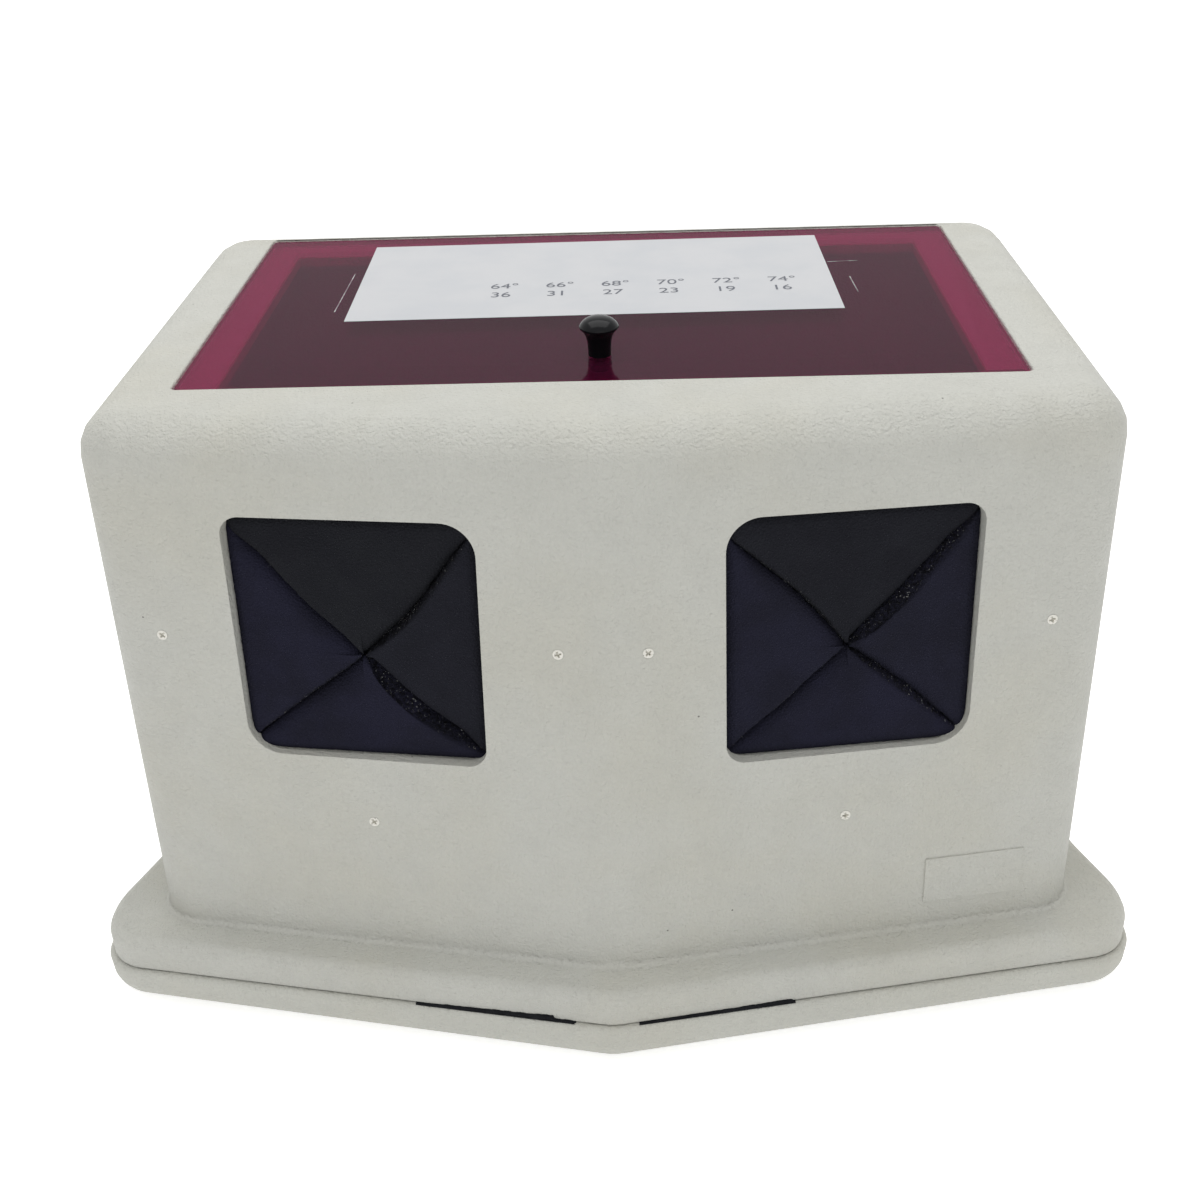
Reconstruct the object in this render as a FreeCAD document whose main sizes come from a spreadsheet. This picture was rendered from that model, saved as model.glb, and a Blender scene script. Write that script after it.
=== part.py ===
import FreeCAD
import Part
import Sketcher
import os
from math import cos, pi, sin, sqrt, tan

Vector = FreeCAD.Vector

# The darkroom stands on z = 0 with its middle over the origin. +X is the user's right,
# -Y faces the user and +Z is up. Every depth is counted from the ridge, the line where
# the two front faces meet just above the flange. Heights are stacked from the base up:
# base, gasket, rim of the flange, then the hood above the fold.
SIZES = {
    # Hood
    "ridge_y": -144.4,
    "body_half_width": 200.0,
    "body_depth": 292.0,
    "hood_height": 234.0,
    "front_lean": 24.6,
    "fold_sweep": 35.7,
    "top_sweep": 18.7,
    "wall": 3.5,
    "front_corner_radius": 19.0,
    "rear_corner_radius": 22.0,
    "top_edge_radius": 18.0,
    "ridge_radius": 40.0,
    "fold_flare": 2.5,
    "inner_bevel": 8.7,
    # Flange of the hood and rim of the base
    "flange_side": 25.0,
    "flange_front": 17.2,
    "flange_rear": 14.0,
    "waist_side": 12.0,
    "waist_start": 50.0,
    "waist_end": 86.0,
    "flange_corner_radius": 20.0,
    "waist_radius": 40.0,
    "flange_rear_radius": 30.0,
    "flange_nose_radius": 24.0,
    "rim_height": 15.0,
    "rim_wall": 5.0,
    "rim_round": 5.0,
    "flange_thickness": 5.0,
    # Base
    "base_height": 20.0,
    "base_overhang": 2.5,
    "base_rim_width": 14.0,
    "base_skirt": 4.0,
    "base_floor": 4.0,
    "base_round": 2.0,
    "gasket_height": 1.0,
    "gasket_width": 3.5,
    "gasket_inset": 4.5,
    "squeeze_out": 1.2,
    "left_squeeze_from": -84.0,
    "left_squeeze_to": -16.0,
    "right_squeeze_from": 11.0,
    "right_squeeze_to": 77.0,
    "lip_gap": 0.5,
    "lip_width": 3.0,
    "lip_height": 6.0,
    # Filter window in the top
    "window_side": 33.0,
    "window_front": 74.6,
    "window_length": 199.3,
    "window_recess": 3.6,
    "window_thickness": 3.0,
    "window_gap": 1.0,
    "window_corner": 2.0,
    "ledge_side": 16.0,
    "ledge_front": 5.0,
    "ledge_rear": 18.0,
    "ledge_thickness": 5.0,
    "knob_setback": 29.5,
    "knob_height": 16.0,
    "knob_head_radius": 8.0,
    "knob_neck_radius": 4.6,
    "knob_bore_depth": 9.0,
    "screw_radius": 2.0,
    "screw_play": 0.1,
    "washer_radius": 5.0,
    "washer_thickness": 1.0,
    "knob_screw_head": 2.2,
    "label_width": 216.0,
    "label_depth": 109.0,
    "label_setback": 77.2,
    "label_offset": -3.3,
    "label_turn": 0.7,
    "label_thickness": 0.2,
    # Hand ports
    "port_share": 0.482,
    "port_drop": 89.0,
    "port_width": 99.0,
    "port_tall": 105.0,
    "port_small_radius": 8.0,
    "port_large_radius": 14.0,
    "seat_depth": 6.0,
    "seat_play": 0.3,
    # Foam baffle behind each port
    "foam_thickness": 8.0,
    "flap_reach": 53.0,
    "flap_play": 0.4,
    "foam_half_width": 66.0,
    # Retaining frame behind each baffle
    "frame_thickness": 3.0,
    "frame_opening": 57.0,
    "frame_band": 13.0,
    "ear_half_width": 6.0,
    "side_screw_offset": 79.7,
    "low_screw_offset": 82.7,
    "frame_screw_radius": 1.25,
    "frame_screw_play": 0.15,
    "frame_head_radius": 2.15,
    "frame_head_depth": 1.4,
    "frame_screw_length": 20.0,
    "thread_play": 0.05,
    "nut_flats": 5.0,
    "nut_thickness": 2.0,
    # Bare name pad on the right front face
    "pad_share": 0.77,
    "pad_lift": 24.5,
    "pad_width": 43.0,
    "pad_tall": 22.0,
    "pad_rise": 0.5,
    # Cups and their rack on the base
    "cup_height": 88.0,
    "cup_half_side": 29.0,
    "cup_corner": 9.0,
    "cup_wall": 1.8,
    "cup_spacing": 66.0,
    "cup_play": 0.3,
    "cups_y": 6.0,
    "rack_height": 28.0,
    "rack_play": 1.0,
    "rack_floor": 2.6,
    "rack_margin": 4.0,
    "rack_corner": 8.0,
    "curb_height": 2.5,
    "curb_width": 2.5,
    "cup_floor": 2.5,
}

doc = FreeCAD.newDocument("darkroom")
sheet = doc.addObject("Spreadsheet::Sheet", "dims")
for row, (alias, number) in enumerate(SIZES.items(), start=1):
    sheet.set(f"A{row}", alias)
    sheet.set(f"B{row}", str(number))
    sheet.setAlias(f"B{row}", alias)
scratch = doc.addObject("Spreadsheet::Sheet", "scratch")
doc.recompute()
known = {}


def value(formula):
    """Number that a formula of the sheet gives, for first positions and placements."""
    if formula not in known:
        scratch.set("A1", f"={formula}")
        scratch.recompute()
        known[formula] = float(scratch.get("A1"))
    return known[formula]


def size(alias):
    return value(f"dims.{alias}")


# Helpers for bodies and sketches
def new_body(label):
    body = doc.addObject("PartDesign::Body", label)
    body.Label = label
    return body


def new_sketch(body, name, height="0 mm", role="XY_Plane"):
    sketch = body.newObject("Sketcher::SketchObject", f"{body.Name}_{name}")
    plane = next(o for o in body.Origin.OriginFeatures if o.Role == role)
    sketch.AttachmentSupport = [(plane, "")]
    sketch.MapMode = "FlatFace"
    sketch.setExpression(".AttachmentOffset.Base.z", height)
    return sketch


def add_limits(sketch, limits):
    """Adds (kind, place, formula) constraints; a formula ties its number to the sheet."""
    rules = []
    for kind, place, formula in limits:
        number = [] if formula is None else [value(formula)]
        rules.append(Sketcher.Constraint(kind, *place, *number))
    for number, (_, _, formula) in zip(sketch.addConstraint(rules), limits):
        if formula is not None:
            sketch.setExpression(f"Constraints[{number}]", formula)


def pinned(geometry, point, x, y):
    return [("DistanceX", (-1, 1, geometry, point), x), ("DistanceY", (-1, 1, geometry, point), y)]


def add_outline(sketch, corners):
    """Closed outline; a corner is (x, y) or (x, y, radius), all of them formulas."""
    count = len(corners)
    first = len(sketch.Geometry)
    spots = [Vector(value(c[0]), value(c[1])) for c in corners]
    ends = []
    for k, spot in enumerate(spots):
        back = (spots[k - 1] - spot).normalize()
        on = (spots[(k + 1) % count] - spot).normalize()
        radius = value(corners[k][2]) if len(corners[k]) > 2 else 0
        half_turn = (pi - back.getAngle(on)) / 2
        cut = radius * tan(half_turn)
        centre = spot + (back + on).normalize() * (radius / cos(half_turn))
        ends.append((spot + back * cut, spot + on * cut, centre, radius))
    for k in range(count):
        sketch.addGeometry(Part.LineSegment(ends[k][1], ends[(k + 1) % count][0]), False)
    limits = []
    for k, (start, end, centre, radius) in enumerate(ends):
        before = first + (k - 1) % count
        after = first + k
        if not radius:
            limits.append(("Coincident", (before, 2, after, 1), None))
            limits += pinned(after, 1, corners[k][0], corners[k][1])
            continue
        left_turn = (spots[k] - start).cross(end - spots[k]).z > 0
        low, high = (start, end) if left_turn else (end, start)
        circle = Part.Circle(centre, Vector(0, 0, 1), radius)
        arc = sketch.addGeometry(Part.ArcOfCircle(
            circle, circle.parameter(low), circle.parameter(high)), False)
        corner = sketch.addGeometry(Part.Point(spots[k]), True)
        first_end, last_end = (1, 2) if left_turn else (2, 1)
        limits += [("Tangent", (before, 2, arc, first_end), None),
                   ("Tangent", (arc, last_end, after, 1), None),
                   ("PointOnObject", (corner, 1, before), None),
                   ("PointOnObject", (corner, 1, after), None),
                   ("Radius", (arc,), corners[k][2])]
        limits += pinned(corner, 1, corners[k][0], corners[k][1])
    add_limits(sketch, limits)


def extrude(body, name, sketch, length, kind="Pad", down=False):
    feature = body.newObject(f"PartDesign::{kind}", f"{body.Name}_{name}")
    feature.Profile = sketch
    feature.setExpression("Length", length)
    feature.Reversed = down
    sketch.Visibility = False
    doc.recompute()
    return feature


def outline_pad(body, name, corners, height, length, down=False, kind="Pad"):
    sketch = new_sketch(body, f"{name}_outline", height)
    add_outline(sketch, corners)
    return extrude(body, name, sketch, length, kind, down)


def round_pad(body, name, circles, height, length, down=False, kind="Pad"):
    sketch = new_sketch(body, f"{name}_circles", height)
    for x, y, radius in circles:
        circle = sketch.addGeometry(Part.Circle(
            Vector(value(x), value(y)), Vector(0, 0, 1), value(radius)), False)
        add_limits(sketch, [("Radius", (circle,), radius)] + pinned(circle, 3, x, y))
    return extrude(body, name, sketch, length, kind, down)


def stack(body, name, sections):
    """Straight walls from each outline to the next; a section is (height, corners)."""
    sketches = []
    for number, (height, corners) in enumerate(sections):
        sketch = new_sketch(body, f"{name}_{number}", height)
        add_outline(sketch, corners)
        sketches.append(sketch)
    loft = body.newObject("PartDesign::AdditiveLoft", f"{body.Name}_{name}")
    loft.Profile = sketches[0]
    loft.Sections = sketches[1:]
    loft.Ruled = True
    doc.recompute()
    return loft


def quarter_round(top, radius, steps):
    """Heights and insets of the steps that stand in for a rounded top edge."""
    turns = [pi / 2 * k / steps for k in range(steps + 1)]
    return [(f"({top} - {radius} * {1 - sin(turn):.4f})", f"({radius} * {1 - cos(turn):.4f})")
            for turn in turns]


def bevel_edges(body, name, test, length):
    base = body.Tip
    feature = body.newObject("PartDesign::Chamfer", f"{body.Name}_{name}")
    feature.Base = (base, [f"Edge{k}" for k, edge in enumerate(base.Shape.Edges, start=1)
                           if test(edge)])
    feature.setExpression("Size", length)
    doc.recompute()
    return feature


def revolve(body, name, profile):
    """Full turn about Z of an outline of (radius, height) formulas."""
    sketch = new_sketch(body, f"{name}_profile", role="XZ_Plane")
    add_outline(sketch, profile)
    feature = body.newObject("PartDesign::Revolution", f"{body.Name}_{name}")
    feature.Profile = sketch
    feature.ReferenceAxis = (sketch, ["V_Axis"])
    feature.Angle = 360.0
    sketch.Visibility = False
    doc.recompute()
    return feature


def boolean(label, kind, base, *tools):
    feature = doc.addObject(f"Part::{kind}", label)
    feature.Label = label
    feature.Base = base
    if len(tools) == 1:
        feature.Tool = tools[0]
    else:
        joined = doc.addObject("Part::MultiFuse", f"{label}_tools")
        joined.Shapes = list(tools)
        feature.Tool = joined
    doc.recompute()
    return feature


# Outlines that several pieces share
BASE_TOP = "dims.base_height"
HOOD_FOOT = "(dims.base_height + dims.gasket_height)"
FOLD = f"({HOOD_FOOT} + dims.rim_height)"
HOOD_TOP = f"({FOLD} + dims.hood_height)"
FRONT_SLOPE = "dims.fold_sweep / dims.body_half_width"


def mirrored(corners):
    """Adds the left half to an outline that starts on the middle line."""
    return corners + [(f"-({x})", *rest) for x, *rest in reversed(corners[1:])]


def box_corners(left, right, low, high, radius=None):
    spots = [(left, low), (right, low), (right, high), (left, high)]
    return spots if radius is None else [(x, y, radius) for x, y in spots]


def rim_corners(inset, hidden=False):
    """Outline of the flange, moved in by inset: nose, front corner, waist, rear corner.

    A hidden outline keeps its two blunt corners sharp."""
    wide = f"(dims.body_half_width + dims.flange_side - ({inset}))"
    narrow = f"(dims.body_half_width + dims.waist_side - ({inset}))"
    nose = f"(dims.ridge_y - dims.flange_front + ({inset}))"
    corners = [
        ("0", nose, f"dims.flange_nose_radius - ({inset})"),
        (wide, f"{nose} + {wide} * {FRONT_SLOPE}", f"dims.flange_corner_radius - ({inset})"),
        (wide, "dims.ridge_y + dims.waist_start", f"dims.waist_radius - ({inset})"),
        (narrow, "dims.ridge_y + dims.waist_end", f"dims.waist_radius + ({inset})"),
        (narrow, f"dims.ridge_y + dims.body_depth + dims.flange_rear - ({inset})",
         f"dims.flange_rear_radius - ({inset})")]
    if hidden:
        corners = [corner[:2] if k in (0, 2, 3) else corner for k, corner in enumerate(corners)]
    return mirrored(corners)


def rim_body(label, inset, height, length):
    """Slab inside the flange's outline, for what the rim hides."""
    body = new_body(label)
    outline_pad(body, "slab", rim_corners(inset, hidden=True), height, length)
    return body


def rounded_rim(label, inset, low, high, radius, steps):
    """Slab with the flange's outline and a rounded top edge."""
    body = new_body(label)
    sections = [(low, rim_corners(inset))]
    for height, cut in quarter_round(high, radius, steps):
        sections.append((height, rim_corners(f"{inset} + {cut}")))
    stack(body, "slab", sections)
    return body


def hood_corners(height, inset):
    """Outline of the walls at a height; the V is shallower and set back further up."""
    rise = f"(({height} - {FOLD}) / dims.hood_height)"
    half = f"(dims.body_half_width - ({inset}))"
    ridge = f"(dims.ridge_y + dims.front_lean * {rise} + ({inset}))"
    sweep = f"(dims.fold_sweep + (dims.top_sweep - dims.fold_sweep) * {rise})"
    return mirrored([
        ("0", ridge, f"dims.ridge_radius - ({inset})"),
        (half, f"{ridge} + {sweep} * {half} / dims.body_half_width",
         f"dims.front_corner_radius - ({inset})"),
        (half, f"dims.ridge_y + dims.body_depth - ({inset})",
         f"dims.rear_corner_radius - ({inset})")])


def front_frame(x, height):
    """Placement on the front face: X along the face, Y up it, Z out of it."""
    side = 1 if x > 0 else -1
    half = size("body_half_width")
    tall = size("hood_height")
    rise = (height - value(FOLD)) / tall
    spread = size("top_sweep") - size("fold_sweep")
    slope = side * (size("fold_sweep") + spread * rise) / half
    lean = size("front_lean") / tall + spread * abs(x) / (half * tall)
    y = size("ridge_y") + size("front_lean") * rise + slope * x
    along = Vector(1, slope, 0).normalize()
    out = Vector(1, slope, 0).cross(Vector(0, lean, 1)).normalize()
    up = out.cross(along)
    return FreeCAD.Placement(FreeCAD.Matrix(
        along.x, up.x, out.x, x,
        along.y, up.y, out.y, y,
        along.z, up.z, out.z, height,
        0, 0, 0, 1))


def sink_profile(play, below, above):
    """Half section of a countersunk screw's shank and cone, grown by a play."""
    shank = f"(dims.frame_screw_radius + {play})"
    head = f"(dims.frame_head_radius + {play})"
    flare = f"({head} + ({head} - {shank}) * ({above}) / dims.frame_head_depth)"
    return [("0", f"-({below})"), (shank, f"-({below})"), (shank, "-dims.frame_head_depth"),
            (flare, above), ("0", above)]


def box_body(label, corners, height, length):
    body = new_body(label)
    outline_pad(body, "block", corners, height, length)
    return body


def moved(body, place):
    body.Placement = place
    return body


def on_axis(body, x, y, z):
    """Binds a body's place to formulas of the sheet."""
    for axis, formula in (("x", x), ("y", y), ("z", z)):
        body.setExpression(f"Placement.Base.{axis}", formula)
    doc.recompute()
    return body


nodes = []


def node(feature):
    nodes.append(feature)
    return feature


def group(label, bodies):
    """One node of several alike pieces that stay separate solids."""
    feature = doc.addObject("Part::Compound", label)
    feature.Label = label
    feature.Links = bodies
    doc.recompute()
    return node(feature)


# Base tray: a moulded rim with a skirt, a sunk floor and a locating lip inside the gasket
SOCKET = "(dims.cup_half_side + dims.rack_play)"
RACK_HALF = f"(dims.cup_spacing * 1.5 + {SOCKET} + dims.rack_margin)"
RACK_DEEP = f"({SOCKET} + dims.rack_margin)"
cup_places = [f"dims.cup_spacing * {k}" for k in (-1.5, -0.5, 0.5, 1.5)]


def rack_outline(grow):
    return box_corners(f"-{RACK_HALF} - ({grow})", f"{RACK_HALF} + ({grow})",
                       f"dims.cups_y - {RACK_DEEP} - ({grow})",
                       f"dims.cups_y + {RACK_DEEP} + ({grow})", f"dims.rack_corner + ({grow})")


LIP_OUT = "dims.gasket_inset + dims.gasket_width + dims.lip_gap - dims.base_overhang"
RIM_IN = "dims.base_rim_width - dims.base_overhang"
base_slab = rounded_rim("base_slab", "-dims.base_overhang", "0", BASE_TOP, "dims.base_round", 2)
tray_hollow = rim_body("tray_hollow", RIM_IN, "dims.base_floor", "dims.base_height * 2")
skirt_out = rim_body("skirt_out", "dims.base_skirt - dims.base_overhang",
                     "-dims.base_skirt", "dims.base_height")
skirt_in = rim_body("skirt_in", f"{RIM_IN} - dims.base_skirt", "-dims.base_skirt * 2",
                    "dims.base_height * 2")
skirt_groove = boolean("skirt_groove", "Cut", skirt_out, skirt_in)
tray_raw = boolean("tray_raw", "Cut", base_slab, tray_hollow, skirt_groove)
lip_slab = rim_body("lip_slab", LIP_OUT, f"{BASE_TOP} - dims.base_skirt / 2",
                    "dims.lip_height + dims.base_skirt / 2")
lip_hollow = rim_body("lip_hollow", f"{LIP_OUT} + dims.lip_width",
                      f"{BASE_TOP} - dims.base_skirt", "dims.lip_height + dims.base_height")
lip_ring = boolean("lip_ring", "Cut", lip_slab, lip_hollow)
curb = box_body("curb", rack_outline("dims.rack_play + dims.curb_width"),
                "dims.base_floor / 2", "dims.base_floor / 2 + dims.curb_height")
outline_pad(curb, "inside", rack_outline("dims.rack_play"),
            "dims.base_floor + dims.curb_height", "dims.curb_height * 4", kind="Pocket")
base_tray = node(boolean("base_tray", "Fuse", tray_raw, lip_ring, curb))

# Foam gasket on the rim of the base; it is squeezed out along two stretches of the front
gasket_out = rim_body("gasket_out", "dims.gasket_inset - dims.base_overhang", BASE_TOP,
                      "dims.gasket_height")
gasket_in = rim_body("gasket_in",
                     "dims.gasket_inset + dims.gasket_width - dims.base_overhang",
                     f"{BASE_TOP} - dims.gasket_height", "dims.gasket_height * 3")
gasket_ring = boolean("gasket_ring", "Cut", gasket_out, gasket_in)


def front_edge(x, inset):
    """Point of the flange's front edge at x, moved in by inset."""
    return (x, f"dims.ridge_y - dims.flange_front + abs({x}) * {FRONT_SLOPE} + ({inset})")


squeezed = []
for side in ("left", "right"):
    start = f"dims.{side}_squeeze_from"
    end = f"dims.{side}_squeeze_to"
    inside = "dims.gasket_inset - dims.base_overhang + dims.gasket_width / 2"
    squeezed.append(box_body(f"{side}_squeeze", [
        front_edge(start, "-dims.squeeze_out"), front_edge(end, "-dims.squeeze_out"),
        front_edge(end, inside), front_edge(start, inside)], BASE_TOP, "dims.gasket_height"))
base_gasket = node(boolean("base_gasket", "Fuse", gasket_ring, *squeezed))

# Hood: flange, ruled walls with a V front, then the hollow, the ports and the window
flange = rounded_rim("flange", "0", HOOD_FOOT, FOLD, "dims.rim_round", 3)
stack(flange, "walls", [(FOLD, hood_corners(FOLD, "-dims.fold_flare")),
                        (f"{FOLD} + dims.fold_flare",
                         hood_corners(f"({FOLD} + dims.fold_flare)", "0"))]
      + [(height, hood_corners(height, cut))
         for height, cut in quarter_round(HOOD_TOP, "dims.top_edge_radius", 5)])

FLANGE_UNDER = f"({FOLD} - dims.flange_thickness)"
CEILING = f"({HOOD_TOP} - dims.wall)"
cavity = rim_body("cavity", "dims.rim_wall", f"{HOOD_FOOT} - dims.rim_wall",
                  f"{FLANGE_UNDER} - {HOOD_FOOT} + dims.rim_wall")
stack(cavity, "room", [
    (height, hood_corners(height, inset)) for height, inset in (
        (FLANGE_UNDER, "dims.wall"), (f"({CEILING} - dims.inner_bevel)", "dims.wall"),
        (CEILING, "dims.wall + dims.inner_bevel"))])

WINDOW_HALF = "(dims.body_half_width - dims.window_side)"
WINDOW_NEAR = "(dims.ridge_y + dims.window_front)"
WINDOW_FAR = f"({WINDOW_NEAR} + dims.window_length)"
SEAT_LEVEL = f"({HOOD_TOP} - dims.window_recess)"


def window_outline(side, near, far, radius=None):
    """Outline of the window, moved in by three insets."""
    return box_corners(f"-{WINDOW_HALF} + ({side})", f"{WINDOW_HALF} - ({side})",
                       f"{WINDOW_NEAR} + ({near})", f"{WINDOW_FAR} - ({far})", radius)


border = "-dims.ledge_front"
ledge_block = box_body("ledge_block", window_outline(border, border, border),
                       f"{SEAT_LEVEL} - dims.ledge_thickness",
                       "dims.ledge_thickness + dims.window_recess")
window_sink = box_body("window_sink", window_outline(
    "0", "0", "0", "dims.window_corner + dims.window_gap"), SEAT_LEVEL, "dims.window_recess * 2")
window_hole = box_body("window_hole", window_outline(
    "dims.ledge_side", "dims.ledge_front", "dims.ledge_rear"),
    f"{SEAT_LEVEL} - dims.ledge_thickness * 2", "dims.ledge_thickness * 4")

SIDES = {"right": 1, "left": -1}
SCREWS = {"outer": ("dims.side_screw_offset", "0"),
          "inner": ("-dims.side_screw_offset", "0"),
          "bottom": ("0", "-dims.low_screw_offset")}
frames = {side: front_frame(sign * value("dims.body_half_width * dims.port_share"),
                            value(f"{HOOD_TOP} - dims.port_drop"))
          for side, sign in SIDES.items()}


def at_screw(side, spot):
    """Placement of a screw's axis, from the port's centre."""
    x, y = (value(formula) for formula in SCREWS[spot])
    offset = Vector(SIDES[side] * x, y, 0)
    return frames[side].multiply(FreeCAD.Placement(offset, FreeCAD.Rotation()))


EAR = "dims.ear_half_width"
SEAT_SIDE = f"(dims.side_screw_offset + {EAR} + dims.seat_play)"
SEAT_LOW = f"(dims.low_screw_offset + {EAR} + dims.seat_play)"
seats = []
ports = []
sinks = []
for side, sign in SIDES.items():
    seats.append(moved(box_body(f"{side}_seat", box_corners(
        f"-{SEAT_SIDE}", SEAT_SIDE, f"-{SEAT_LOW}", "dims.foam_half_width"),
        "-dims.seat_depth", "dims.seat_depth * 2"), frames[side]))
    wide = "dims.port_width / 2"
    tall = "dims.port_tall / 2"
    small = "dims.port_small_radius"
    large = "dims.port_large_radius"
    rising, falling = (small, large) if sign > 0 else (large, small)
    ports.append(moved(box_body(f"{side}_port", [
        (f"-{wide}", f"-{tall}", rising), (wide, f"-{tall}", falling),
        (wide, tall, rising), (f"-{wide}", tall, falling)],
        "-dims.seat_depth * 2", "dims.seat_depth * 4"), frames[side]))
    for spot in SCREWS:
        sink = new_body(f"{side}_{spot}_sink")
        revolve(sink, "bore", sink_profile("dims.frame_screw_play", "dims.seat_depth * 2",
                                           "dims.frame_head_depth"))
        sinks.append(moved(sink, at_screw(side, spot)))

hollow = boolean("hollow", "Cut", cavity, ledge_block, *seats)
name_pad = moved(box_body("name_pad", box_corners(
    "-dims.pad_width / 2", "dims.pad_width / 2", "-dims.pad_tall / 2", "dims.pad_tall / 2"),
    "-dims.wall / 2", "dims.wall / 2 + dims.pad_rise"),
    front_frame(value("dims.body_half_width * dims.pad_share"),
                value(f"{FOLD} + dims.pad_lift")))
hood_marked = boolean("hood_marked", "Fuse", flange, name_pad)
hood_open = boolean("hood_open", "Cut", hood_marked, hollow, window_sink, window_hole, *ports)
hood_shell = node(boolean("hood_shell", "Cut", hood_open, *sinks))

# Red filter window with its knob and paper table; it drops into the sunk ledge
gap = "dims.window_gap"
window = box_body("window_pane", window_outline(gap, gap, gap, "dims.window_corner"),
                  SEAT_LEVEL, "dims.window_thickness")
KNOB_Y = f"{WINDOW_NEAR} + dims.knob_setback"
PANE_TOP = f"({SEAT_LEVEL} + dims.window_thickness)"
round_pad(window, "knob_hole", [("0", KNOB_Y, "dims.screw_radius + dims.screw_play")],
          PANE_TOP, "dims.window_thickness * 2", kind="Pocket")
window.Label = "filter_window"
node(window)

# The knob's plain steps carry its size; scene.py shapes the mushroom head inside them
NECK = "dims.knob_neck_radius"
HEAD = "dims.knob_head_radius"
BORE = "(dims.screw_radius + dims.screw_play / 2)"
knob = new_body("window_knob")
revolve(knob, "turned", [
    (BORE, "0"), (NECK, "0"), (NECK, "dims.knob_height / 2"), (HEAD, "dims.knob_height / 2"),
    (HEAD, "dims.knob_height"), ("0", "dims.knob_height"), ("0", "dims.knob_bore_depth"),
    (BORE, "dims.knob_bore_depth")])
node(on_axis(knob, "0", KNOB_Y, PANE_TOP))

washer = new_body("knob_washer")
WASHER_HOLE = "dims.screw_radius + dims.screw_play"
revolve(washer, "ring", [
    (WASHER_HOLE, "-dims.washer_thickness"), ("dims.washer_radius", "-dims.washer_thickness"),
    ("dims.washer_radius", "0"), (WASHER_HOLE, "0")])
node(on_axis(washer, "0", KNOB_Y, SEAT_LEVEL))

knob_screw = new_body("knob_screw")
SCREW_END = "dims.window_thickness + dims.knob_bore_depth - dims.screw_radius / 2"
SCREW_FOOT = "-dims.washer_thickness - dims.knob_screw_head"
revolve(knob_screw, "turned", [
    ("0", SCREW_FOOT), ("dims.screw_radius * 2", SCREW_FOOT),
    ("dims.screw_radius * 2", "-dims.washer_thickness"),
    ("dims.screw_radius", "-dims.washer_thickness"),
    ("dims.screw_radius", SCREW_END), ("0", SCREW_END)])
node(on_axis(knob_screw, "0", KNOB_Y, SEAT_LEVEL))

label = box_body("time_label", box_corners(
    "-dims.label_width / 2", "dims.label_width / 2", "0", "dims.label_depth"),
    "0", "dims.label_thickness")
label.Placement = FreeCAD.Placement(
    Vector(size("label_offset"), value(f"{WINDOW_NEAR} + dims.label_setback"), value(PANE_TOP)),
    FreeCAD.Rotation(Vector(0, 0, 1), size("label_turn")))
node(label)

# Foam baffle: a sheet cut crosswise into four flaps, each bending at the port's edge
FOAM_BACK = "(-dims.seat_depth - dims.foam_thickness)"
REACH = "dims.flap_reach"
PLAY = "dims.flap_play"
BEND_BEVEL = "dims.foam_thickness / 2"


def on_back(edge):
    back = value(FOAM_BACK)
    return all(abs(v.Point.z - back) < 0.01 for v in edge.Vertexes)


def farthest(edge):
    """Distance of an edge's middle from the port's centre, along the face."""
    centre = edge.CenterOfMass
    return max(abs(centre.x), abs(centre.y))


def foam_ring(side):
    ring = new_body(f"{side}_foam_ring")
    edge = "dims.foam_half_width"
    outline_pad(ring, "sheet", box_corners(f"-{edge}", edge, f"-{edge}", edge),
                FOAM_BACK, "dims.foam_thickness")
    hole = f"({REACH} + {PLAY})"
    outline_pad(ring, "hole", box_corners(f"-{hole}", hole, f"-{hole}", hole),
                "-dims.seat_depth", "dims.foam_thickness * 2", kind="Pocket")
    limit = value(hole) + 0.1
    bevel_edges(ring, "rear_bevel", lambda e: on_back(e) and farthest(e) < limit, BEND_BEVEL)
    return node(moved(ring, frames[side]))


def swing_half(depth):
    """Half width of a flap at a depth from its root that clears the neighbour's swing."""
    return (f"({REACH} - sqrt((dims.foam_thickness / 2)^2 + ({REACH} * {depth})^2)"
            f" - {PLAY})")


def foam_flap(side, name, turn):
    """One triangle with its root along +X before it is turned into place."""
    flap = new_body(f"{side}_{name}_flap")
    edge = [(f"{REACH} * (1 - {depth})", swing_half(depth)) for depth in (0, 0.08, 0.2, 0.45)]
    outline = ([(f"{PLAY} * 1.5", "0")] + [(x, f"-{y}") for x, y in reversed(edge)] + edge)
    outline_pad(flap, "wedge", outline, FOAM_BACK, "dims.foam_thickness")
    limit = value(REACH) - 0.1
    bevel_edges(flap, "root_bevel", lambda e: on_back(e) and farthest(e) > limit, BEND_BEVEL)
    spin = FreeCAD.Placement(Vector(), FreeCAD.Rotation(Vector(0, 0, 1), turn))
    return node(moved(flap, frames[side].multiply(spin)))


# Retaining frame: a flat ring with three ears whose blocks stand on the hood's seat
FRAME_BACK = f"({FOAM_BACK} - dims.frame_thickness)"


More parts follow.
